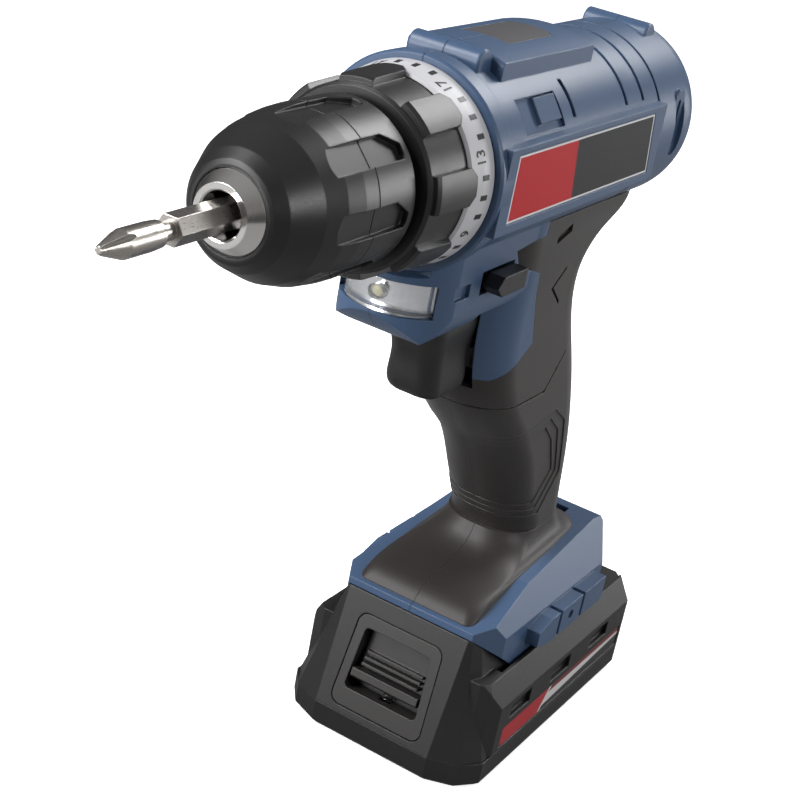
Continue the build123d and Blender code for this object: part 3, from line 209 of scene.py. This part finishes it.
# softened edges, fine grain and slow unevenness, for every moulded or turned surface
def buildSurfaceGroup():
    group, source, sink = addGroup(
        "surface",
        [("Edge", "NodeSocketFloat", 0.0004), ("Grain", "NodeSocketFloat", 2500.0),
         ("Depth", "NodeSocketFloat", 0.1), ("Stretch", "NodeSocketVector", (1.0, 1.0, 1.0))],
        [("Normal", "NodeSocketVector"), ("Edges", "NodeSocketFloat"), ("Grain", "NodeSocketFloat"),
         ("Cloud", "NodeSocketFloat")])
    nodes, links = group.nodes, group.links
    place = nodes.new("ShaderNodeTexCoord")
    rounded = nodes.new("ShaderNodeBevel")
    rounded.samples = texture["bevelSamples"]
    links.new(source.outputs["Edge"], rounded.inputs["Radius"])
    geometry = nodes.new("ShaderNodeNewGeometry")
    facing = nodes.new("ShaderNodeVectorMath")
    facing.operation = "DOT_PRODUCT"
    links.new(rounded.outputs["Normal"], facing.inputs[0])
    links.new(geometry.outputs["Normal"], facing.inputs[1])
    turned = mathNode(group, "SUBTRACT", 1.0, facing.outputs["Value"])
    edges = mathNode(group, "MULTIPLY", turned, texture["edgeGain"], clamp=True)
    links.new(edges, sink.inputs["Edges"])
    scaled = nodes.new("ShaderNodeVectorMath")
    scaled.operation = "MULTIPLY"
    links.new(place.outputs["Object"], scaled.inputs[0])
    links.new(source.outputs["Stretch"], scaled.inputs[1])
    grain = nodes.new("ShaderNodeTexNoise")
    grain.inputs["Detail"].default_value = texture["grainDetail"]
    grain.inputs["Roughness"].default_value = texture["grainRough"]
    links.new(scaled.outputs["Vector"], grain.inputs["Vector"])
    links.new(source.outputs["Grain"], grain.inputs["Scale"])
    bump = nodes.new("ShaderNodeBump")
    bump.inputs["Distance"].default_value = texture["bumpHeight"]
    links.new(source.outputs["Depth"], bump.inputs["Strength"])
    links.new(grain.outputs["Fac"], bump.inputs["Height"])
    links.new(rounded.outputs["Normal"], bump.inputs["Normal"])
    links.new(bump.outputs["Normal"], sink.inputs["Normal"])
    links.new(grain.outputs["Fac"], sink.inputs["Grain"])
    cloud = nodes.new("ShaderNodeTexNoise")
    cloud.inputs["Scale"].default_value = texture["cloudScale"]
    cloud.inputs["Detail"].default_value = texture["cloudDetail"]
    links.new(place.outputs["Object"], cloud.inputs["Vector"])
    links.new(cloud.outputs["Fac"], sink.inputs["Cloud"])
    return group


surfaceGroup = buildSurfaceGroup()


def remap(tree, value, low, high):
    node = tree.nodes.new("ShaderNodeMapRange")
    tree.links.new(value, node.inputs["Value"])
    node.inputs["From Min"].default_value = texture["noiseLow"]
    node.inputs["From Max"].default_value = texture["noiseHigh"]
    node.inputs["To Min"].default_value = low
    node.inputs["To Max"].default_value = high
    return node.outputs["Result"]


# what a finish has where its own entry says nothing; edge is in millimetres
plainLook = {"edge": 0.4, "grain": 2500, "depth": 0.1, "stretch": (1, 1, 1), "spread": 0.08, "paintedHighlightAndWear": 0.35,
             "rough": 0.45, "metal": 0.0, "specular": 0.4}
gloss = {"sheenRough": 0.4, "coatRough": 0.1, "glassIor": 1.46, "smoother": 0.04, "rougher": 0.05}


# one material: base colour with slow unevenness, edges paled as painted highlight and partly wear, grain in
# bump and roughness
def addFinish(name, ownLook):
    look = {**plainLook, **ownLook}
    material = bpy.data.materials.new(name)
    material.use_nodes = True
    tree = material.node_tree
    shader = tree.nodes["Principled BSDF"]
    surface = tree.nodes.new("ShaderNodeGroup")
    surface.node_tree = surfaceGroup
    surface.inputs["Edge"].default_value = look["edge"] * mm
    surface.inputs["Grain"].default_value = look["grain"]
    surface.inputs["Depth"].default_value = look["depth"]
    surface.inputs["Stretch"].default_value = look["stretch"]
    base = look["colour"]
    darker = tuple(c * (1 - look["spread"]) for c in base)
    lighter = tuple(min(1, c * (1 + look["spread"])) for c in base)
    colour = mixColours(tree, surface.outputs["Cloud"], darker, lighter)
    # painted highlight: the edges are mixed towards a paler colour, which stands partly for light catching
    # them and partly for wear
    highlightAndWornColour = look.get("highlightAndWornColour", tuple(min(1, c * 1.5 + 0.01) for c in base))
    edgeAmount = mathNode(tree, "MULTIPLY", surface.outputs["Edges"], look["paintedHighlightAndWear"])
    colour = mixColours(tree, edgeAmount, colour, highlightAndWornColour)
    smooth, rough = look["rough"] - gloss["smoother"], look["rough"] + gloss["rougher"]
    tree.links.new(remap(tree, surface.outputs["Grain"], smooth, rough), shader.inputs["Roughness"])
    tree.links.new(colour, shader.inputs["Base Color"])
    tree.links.new(surface.outputs["Normal"], shader.inputs["Normal"])
    shader.inputs["Metallic"].default_value = look["metal"]
    shader.inputs["Specular IOR Level"].default_value = look["specular"]
    if "sheen" in look:
        shader.inputs["Sheen Weight"].default_value = look["sheen"]
        shader.inputs["Sheen Roughness"].default_value = gloss["sheenRough"]
    if "coat" in look:
        shader.inputs["Coat Weight"].default_value = look["coat"]
        shader.inputs["Coat Roughness"].default_value = gloss["coatRough"]
    if "through" in look:
        shader.inputs["Transmission Weight"].default_value = look["through"]
        shader.inputs["IOR"].default_value = gloss["glassIor"]
    return material, tree, shader, colour


# each finish's pale edge colour and its amount are a painted highlight on the edges, partly wear
finishes = {
    "housing_blue": {"colour": (0.040, 0.072, 0.136), "rough": 0.38, "grain": 3200, "depth": 0.10,
                     "paintedHighlightAndWear": 0.30, "edge": 0.5, "spread": 0.05, "specular": 0.36},
    "grip_rubber": {"colour": (0.015, 0.012, 0.0112), "rough": 0.50, "grain": 2600, "depth": 0.22,
                    "paintedHighlightAndWear": 0.45, "edge": 0.4, "spread": 0.12, "highlightAndWornColour": (0.045, 0.04, 0.037), "sheen": 0.10},
    "collar_black": {"colour": (0.0085, 0.0085, 0.0092), "rough": 0.40, "grain": 3000, "depth": 0.12,
                     "paintedHighlightAndWear": 0.45, "highlightAndWornColour": (0.034, 0.0335, 0.035), "edge": 0.35},
    "scale_grey": {"colour": (0.43, 0.43, 0.45), "rough": 0.38, "grain": 3600, "depth": 0.05, "paintedHighlightAndWear": 0.3,
                   "edge": 0.25, "spread": 0.04, "specular": 0.3},
    "sleeve_black": {"colour": (0.0078, 0.0078, 0.0086), "rough": 0.38, "grain": 3000, "depth": 0.12,
                     "paintedHighlightAndWear": 0.4, "highlightAndWornColour": (0.03, 0.03, 0.032), "edge": 0.5},
    "chuck_steel": {"colour": (0.70, 0.685, 0.67), "rough": 0.12, "metal": 1.0, "grain": 900,
                    "depth": 0.03, "stretch": (0.2, 9.0, 0.2), "edge": 0.2, "spread": 0.05, "paintedHighlightAndWear": 0.2},
    "jaw_steel": {"colour": (0.20, 0.20, 0.205), "rough": 0.35, "metal": 1.0, "grain": 2200, "depth": 0.1},
    "bit_steel": {"colour": (0.42, 0.395, 0.37), "rough": 0.30, "metal": 1.0, "grain": 1500,
                  "depth": 0.10, "stretch": (2.0, 0.5, 2.0), "edge": 0.25, "spread": 0.15, "paintedHighlightAndWear": 0.6,
                  "highlightAndWornColour": (0.75, 0.73, 0.7)},
    "gear_steel": {"colour": (0.42, 0.42, 0.43), "rough": 0.32, "metal": 1.0, "grain": 1800, "depth": 0.08},
    "cast_alloy": {"colour": (0.56, 0.56, 0.57), "rough": 0.5, "metal": 1.0, "grain": 1500, "depth": 0.3},
    "motor_steel": {"colour": (0.55, 0.55, 0.57), "rough": 0.28, "metal": 1.0, "stretch": (1, 4, 1)},
    "magnet": {"colour": (0.05, 0.05, 0.055), "rough": 0.55, "grain": 1800, "depth": 0.3},
    "copper": {"colour": (0.75, 0.36, 0.18), "rough": 0.3, "metal": 1.0, "stretch": (1, 0.2, 1)},
    "screw_steel": {"colour": (0.12, 0.12, 0.125), "rough": 0.35, "metal": 1.0, "edge": 0.2},
    "pad_grey": {"colour": (0.060, 0.058, 0.062), "rough": 0.42, "grain": 2800, "depth": 0.15, "edge": 0.2},
    "lamp": {"colour": (0.9, 0.82, 0.5), "rough": 0.2, "coat": 0.6},
    "trigger_black": {"colour": (0.0075, 0.0072, 0.0072), "rough": 0.42, "grain": 3000, "depth": 0.15,
                      "edge": 0.5, "paintedHighlightAndWear": 0.45, "highlightAndWornColour": (0.03, 0.029, 0.028)},
    "switch_grey": {"colour": (0.05, 0.05, 0.053), "rough": 0.5},
    "pack_black": {"colour": (0.0072, 0.0066, 0.0066), "rough": 0.42, "grain": 1700, "depth": 0.28,
                   "edge": 0.5, "paintedHighlightAndWear": 0.5, "highlightAndWornColour": (0.036, 0.034, 0.033), "spread": 0.1},
    "latch_grey": {"colour": (0.015, 0.0137, 0.0132), "rough": 0.40, "grain": 2400, "depth": 0.15,
                   "edge": 0.4, "paintedHighlightAndWear": 0.6, "highlightAndWornColour": (0.06, 0.057, 0.055)},
    "cell_wrap": {"colour": (0.03, 0.22, 0.16), "rough": 0.3, "coat": 0.3},
    "board_green": {"colour": (0.02, 0.12, 0.04), "rough": 0.35, "coat": 0.4},
}

materials = {}
for slotName, look in finishes.items():
    materials[slotName] = addFinish(slotName, look)[0]


def objectAxes(tree):
    place = tree.nodes.new("ShaderNodeTexCoord")
    split = tree.nodes.new("ShaderNodeSeparateXYZ")
    tree.links.new(place.outputs["Object"], split.inputs["Vector"])
    return split.outputs


# how far back and how high a point is, in millimetres
def sidePlace(tree):
    axes = objectAxes(tree)
    return mathNode(tree, "MULTIPLY", axes["Y"], 1 / mm), mathNode(tree, "MULTIPLY", axes["Z"], 1 / mm)


seam = {"halfWidth": 0.12, "strength": 0.75, "colour": (0.01, 0.012, 0.016)}


# a fine dark line where the two halves of the housing meet
def addSeam(material):
    tree = material.node_tree
    shader = tree.nodes["Principled BSDF"]
    colour = shader.inputs["Base Color"].links[0].from_socket
    across = mathNode(tree, "ABSOLUTE", objectAxes(tree)["X"])
    onSeam = mathNode(tree, "LESS_THAN", across, seam["halfWidth"] * mm)
    strength = mathNode(tree, "MULTIPLY", onSeam, seam["strength"])
    tree.links.new(mixColours(tree, strength, colour, seam["colour"]), shader.inputs["Base Color"])


for slotName in ("housing_blue", "grip_rubber"):
    addSeam(materials[slotName])

# blank plates on the flanks, red in front and dark behind, with a pale rim; places are in millimetres
badge = {"front": -98.4, "rear": -14.3, "low": 193.2, "high": 210.6,
         "split": -62.5, "slant": 0.20, "rim": 0.55,
         "red": (0.36, 0.002, 0.006), "dark": (0.012, 0.012, 0.014), "silver": (0.52, 0.52, 0.54)}
badgeLook = {"colour": badge["red"], "rough": 0.36, "grain": 2500, "depth": 0.02, "edge": 0.12, "paintedHighlightAndWear": 0.0,
             "specular": 0.2}


def addBadgeFinish():
    material, tree, shader, base = addFinish("badge", badgeLook)
    y, z = sidePlace(tree)
    height = mathNode(tree, "SUBTRACT", z, badge["low"])
    leaning = mathNode(tree, "ADD", y, mathNode(tree, "MULTIPLY", height, badge["slant"]))
    isDark = mathNode(tree, "GREATER_THAN", leaning, badge["split"])
    colour = mixColours(tree, isDark, base, badge["dark"])
    rims = [mathNode(tree, "LESS_THAN", height, badge["rim"]),
            mathNode(tree, "GREATER_THAN", z, badge["high"] - badge["rim"]),
            mathNode(tree, "LESS_THAN", y, badge["front"] + badge["rim"]),
            mathNode(tree, "GREATER_THAN", leaning, badge["rear"] - badge["rim"])]
    onRim = rims[0]
    for rim in rims[1:]:
        onRim = mathNode(tree, "MAXIMUM", onRim, rim)
    colour = mixColours(tree, onRim, colour, badge["silver"])
    tree.links.new(colour, shader.inputs["Base Color"])
    return material


materials["badge"] = addBadgeFinish()

lensLook = {"colour": (0.95, 0.96, 0.97), "rough": 0.05, "grain": 900, "depth": 0.03, "edge": 0.3,
            "paintedHighlightAndWear": 0.0, "spread": 0.02, "through": 0.95, "coat": 0.3}
materials["lens_clear"] = addFinish("lens_clear", lensLook)[0]

for entry in frame["record"]["subparts"]:
    node = frame["nodes"].get(entry["node"])
    if node is None:
        continue
    node.data.materials.clear()
    node.data.materials.append(materials[entry["material_slot"]])
print("finishes on", len(frame["nodes"]), "nodes")

# numbers and dashes on the collar's ring, in millimetres and degrees up from the left side
dial = {"first": 1, "step": 4, "count": 6, "firstAngle": -113.5, "pitch": 45.0,
        "numberY": -110.6, "size": 4.3, "bold": 0.05, "curveSteps": 3,
        "dashY": -109.3, "dashLength": 2.5, "dashWidth": 1.35, "dashesBetween": 3,
        "lift": 0.06, "thick": 0.1,
        "coneFront": (-114.4, 24.3), "coneMiddle": (-110.0, 25.1), "coneRear": (-106.0, 25.6)}
inkLook = {"colour": (0.012, 0.012, 0.013), "rough": 0.4, "grain": 3000, "depth": 0.05, "edge": 0.03,
           "paintedHighlightAndWear": 0.0}


def dialRadius(y):
    points = [dial["coneFront"], dial["coneMiddle"], dial["coneRear"]]
    for (y0, r0), (y1, r1) in zip(points, points[1:]):
        if y <= y1 or (y1, r1) == points[-1]:
            return r0 + (r1 - r0) * (y - y0) / (y1 - y0)


# a flat print is laid on the cone: its x runs along the ring, its y towards the chuck, all in millimetres
def wrapOnDial(piece, angle, y):
    for vertex in piece.data.vertices:
        along, forward, height = vertex.co
        at = y - forward
        radius = dialRadius(at) + dial["lift"] * (1 if height > 0 else -1)
        turn = math.radians(angle) + along / radius
        vertex.co = Vector((radius * math.cos(turn), at, radius * math.sin(turn))) * mm
        vertex.co.z += spindleHeight


def addNumber(text, angle):
    bpy.ops.object.select_all(action="DESELECT")
    bpy.ops.object.text_add(location=(0, 0, 0))
    piece = bpy.context.object
    piece.data.body = text
    piece.data.size = dial["size"]
    piece.data.align_x = "CENTER"
    piece.data.align_y = "CENTER"
    piece.data.offset = dial["bold"]
    piece.data.extrude = dial["thick"]
    piece.data.resolution_u = dial["curveSteps"]
    bpy.ops.object.convert(target="MESH")
    piece = bpy.context.object
    wrapOnDial(piece, angle, dial["numberY"])
    return piece


def addDash(angle):
    bpy.ops.object.select_all(action="DESELECT")
    bpy.ops.mesh.primitive_cube_add(size=1, location=(0, 0, 0))
    piece = bpy.context.object
    piece.scale = (dial["dashWidth"], dial["dashLength"], 2 * dial["thick"])
    bpy.ops.object.transform_apply(scale=True)
    bpy.ops.object.mode_set(mode="EDIT")
    bpy.ops.mesh.select_all(action="SELECT")
    bpy.ops.mesh.subdivide(number_cuts=2)
    bpy.ops.object.mode_set(mode="OBJECT")
    wrapOnDial(piece, angle, dial["dashY"])
    return piece


def joinPieces(pieces, name):
    bpy.ops.object.select_all(action="DESELECT")
    for piece in pieces:
        piece.select_set(True)
    bpy.context.view_layer.objects.active = pieces[0]
    bpy.ops.object.join()
    joined = bpy.context.object
    joined.name = name
    joined.data.name = name
    return joined


def addDialMarks():
    parts = []
    for k in range(dial["count"]):
        angle = dial["firstAngle"] + dial["pitch"] * k
        parts.append(addNumber(str(dial["first"] + dial["step"] * k), angle))
        if k < dial["count"] - 1:
            for gap in range(1, dial["dashesBetween"] + 1):
                parts.append(addDash(angle + dial["pitch"] * gap / (dial["dashesBetween"] + 1)))
    marks = joinPieces(parts, "dial_marks")
    marks.data.materials.clear()
    marks.data.materials.append(addFinish("dial_ink", inkLook)[0])
    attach(marks, "torque_collar")


addDialMarks()
print("dial printed")

# blank labels let into both flanks of the pack: a red block, a slanted pale gap, a silver band on black
label = {"front": -40.6, "rear": 45.6, "low": 10.1, "high": 17.3, "seat": 35.0, "thick": 0.3,
         "corner": 1.2, "cornerSteps": 4, "rounding": 0.08, "roundingSteps": 2,
         "redEnd": -13.0, "gap": 1.6, "slant": 0.9, "bandLow": 11.6, "bandHigh": 15.4, "taper": 0.045,
         "red": (0.30, 0.004, 0.010), "stripe": (0.11, 0.004, 0.010), "silver": (0.46, 0.45, 0.45),
         "dark": (0.010, 0.010, 0.011)}
labelLook = {"colour": label["dark"], "rough": 0.32, "grain": 2600, "depth": 0.02, "edge": 0.1, "paintedHighlightAndWear": 0.0}


def addLabelFinish():
    material, tree, shader, base = addFinish("pack_label", labelLook)
    y, z = sidePlace(tree)
    rise = mathNode(tree, "MULTIPLY", mathNode(tree, "SUBTRACT", z, label["low"]), label["slant"])
    leaning = mathNode(tree, "SUBTRACT", y, rise)
    behind = mathNode(tree, "MULTIPLY", mathNode(tree, "SUBTRACT", y, label["redEnd"]), label["taper"])
    aboveBand = mathNode(tree, "GREATER_THAN", z, mathNode(tree, "ADD", behind, label["bandLow"]))
    inBand = mathNode(tree, "MULTIPLY", aboveBand, mathNode(tree, "LESS_THAN", z, label["bandHigh"]))
    colour = mixColours(tree, inBand, base, label["silver"])
    onStripe = mathNode(tree, "GREATER_THAN", z, label["bandHigh"])
    colour = mixColours(tree, onStripe, colour, label["stripe"])
    inGap = mathNode(tree, "LESS_THAN", leaning, label["redEnd"])
    colour = mixColours(tree, inGap, colour, label["silver"])
    inRed = mathNode(tree, "LESS_THAN", leaning, label["redEnd"] - label["gap"])
    colour = mixColours(tree, inRed, colour, label["red"])
    tree.links.new(colour, shader.inputs["Base Color"])
    return material


def applyModifiers(piece):
    bpy.ops.object.select_all(action="DESELECT")
    piece.select_set(True)
    bpy.context.view_layer.objects.active = piece
    for modifier in list(piece.modifiers):
        bpy.ops.object.modifier_apply(modifier=modifier.name)


def addPackLabel(side, finish):
    bpy.ops.object.select_all(action="DESELECT")
    bpy.ops.mesh.primitive_plane_add(size=1, location=(0, 0, 0), rotation=(0, side * math.pi / 2, 0))
    piece = bpy.context.object
    piece.name = "pack_label_left" if side > 0 else "pack_label_right"
    length, height = label["rear"] - label["front"], label["high"] - label["low"]
    piece.scale = (height * mm, length * mm, 1)
    piece.location = (side * label["seat"] * mm, (label["front"] + label["rear"]) / 2 * mm,
                      (label["low"] + label["high"]) / 2 * mm)
    bpy.ops.object.transform_apply(location=True, rotation=True, scale=True)
    bpy.ops.object.mode_set(mode="EDIT")
    bpy.ops.mesh.select_all(action="SELECT")
    bpy.ops.mesh.bevel(offset=label["corner"] * mm, segments=label["cornerSteps"], affect="VERTICES")
    bpy.ops.object.mode_set(mode="OBJECT")
    shell = piece.modifiers.new("shell", "SOLIDIFY")
    shell.thickness = label["thick"] * mm
    shell.offset = 1.0
    softened = piece.modifiers.new("softened", "BEVEL")
    softened.width = label["rounding"] * mm
    softened.segments = label["roundingSteps"]
    applyModifiers(piece)
    piece.data.materials.append(finish)
    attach(piece, "battery")


labelFinish = addLabelFinish()
for side in (1, -1):
    addPackLabel(side, labelFinish)
print("pack labels on")

# a ribbed bright strip that stands behind the lamp's lens
reflector = {"centre": -89.5, "radius": 15.06, "halfAngle": 58, "low": 164.3, "high": 172.0, "columns": 112,
             "ribDepth": 0.4, "thick": 0.04}
reflectorLook = {"colour": (0.86, 0.86, 0.88), "rough": 0.16, "metal": 1.0, "grain": 1200, "depth": 0.05,
                 "edge": 0.05, "spread": 0.04, "paintedHighlightAndWear": 0.0}


def addReflector():
    bpy.ops.object.select_all(action="DESELECT")
    height = reflector["high"] - reflector["low"]
    bpy.ops.mesh.primitive_cylinder_add(
        vertices=reflector["columns"], radius=reflector["radius"] * mm, depth=height * mm,
        end_fill_type="NOTHING",
        location=(0, reflector["centre"] * mm, (reflector["low"] + height / 2) * mm))
    piece = bpy.context.object
    piece.name = "lamp_reflector"
    bpy.ops.object.transform_apply(location=True)
    ends = (reflector["centre"] - reflector["radius"] * math.cos(math.radians(reflector["halfAngle"]))) * mm
    bpy.ops.object.mode_set(mode="EDIT")
    bpy.ops.mesh.select_all(action="SELECT")
    bpy.ops.mesh.bisect(plane_co=(0, ends, 0), plane_no=(0, 1, 0), clear_outer=True)
    bpy.ops.object.mode_set(mode="OBJECT")
    pitch = 2 * math.pi / reflector["columns"]
    for vertex in piece.data.vertices:    # every second column steps back, more so towards the ends
        across, back = vertex.co.x, vertex.co.y - reflector["centre"] * mm
        turn = math.atan2(across, -back)
        if round(turn / pitch) % 2:
            vertex.co.y += reflector["ribDepth"] * mm * math.sin(turn) ** 2
    shell = piece.modifiers.new("shell", "SOLIDIFY")
    shell.thickness = reflector["thick"] * mm
    shell.offset = -1.0
    applyModifiers(piece)
    piece.data.materials.append(addFinish("reflector_silver", reflectorLook)[0])
    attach(piece, "housing")


addReflector()
print("lamp reflector in")
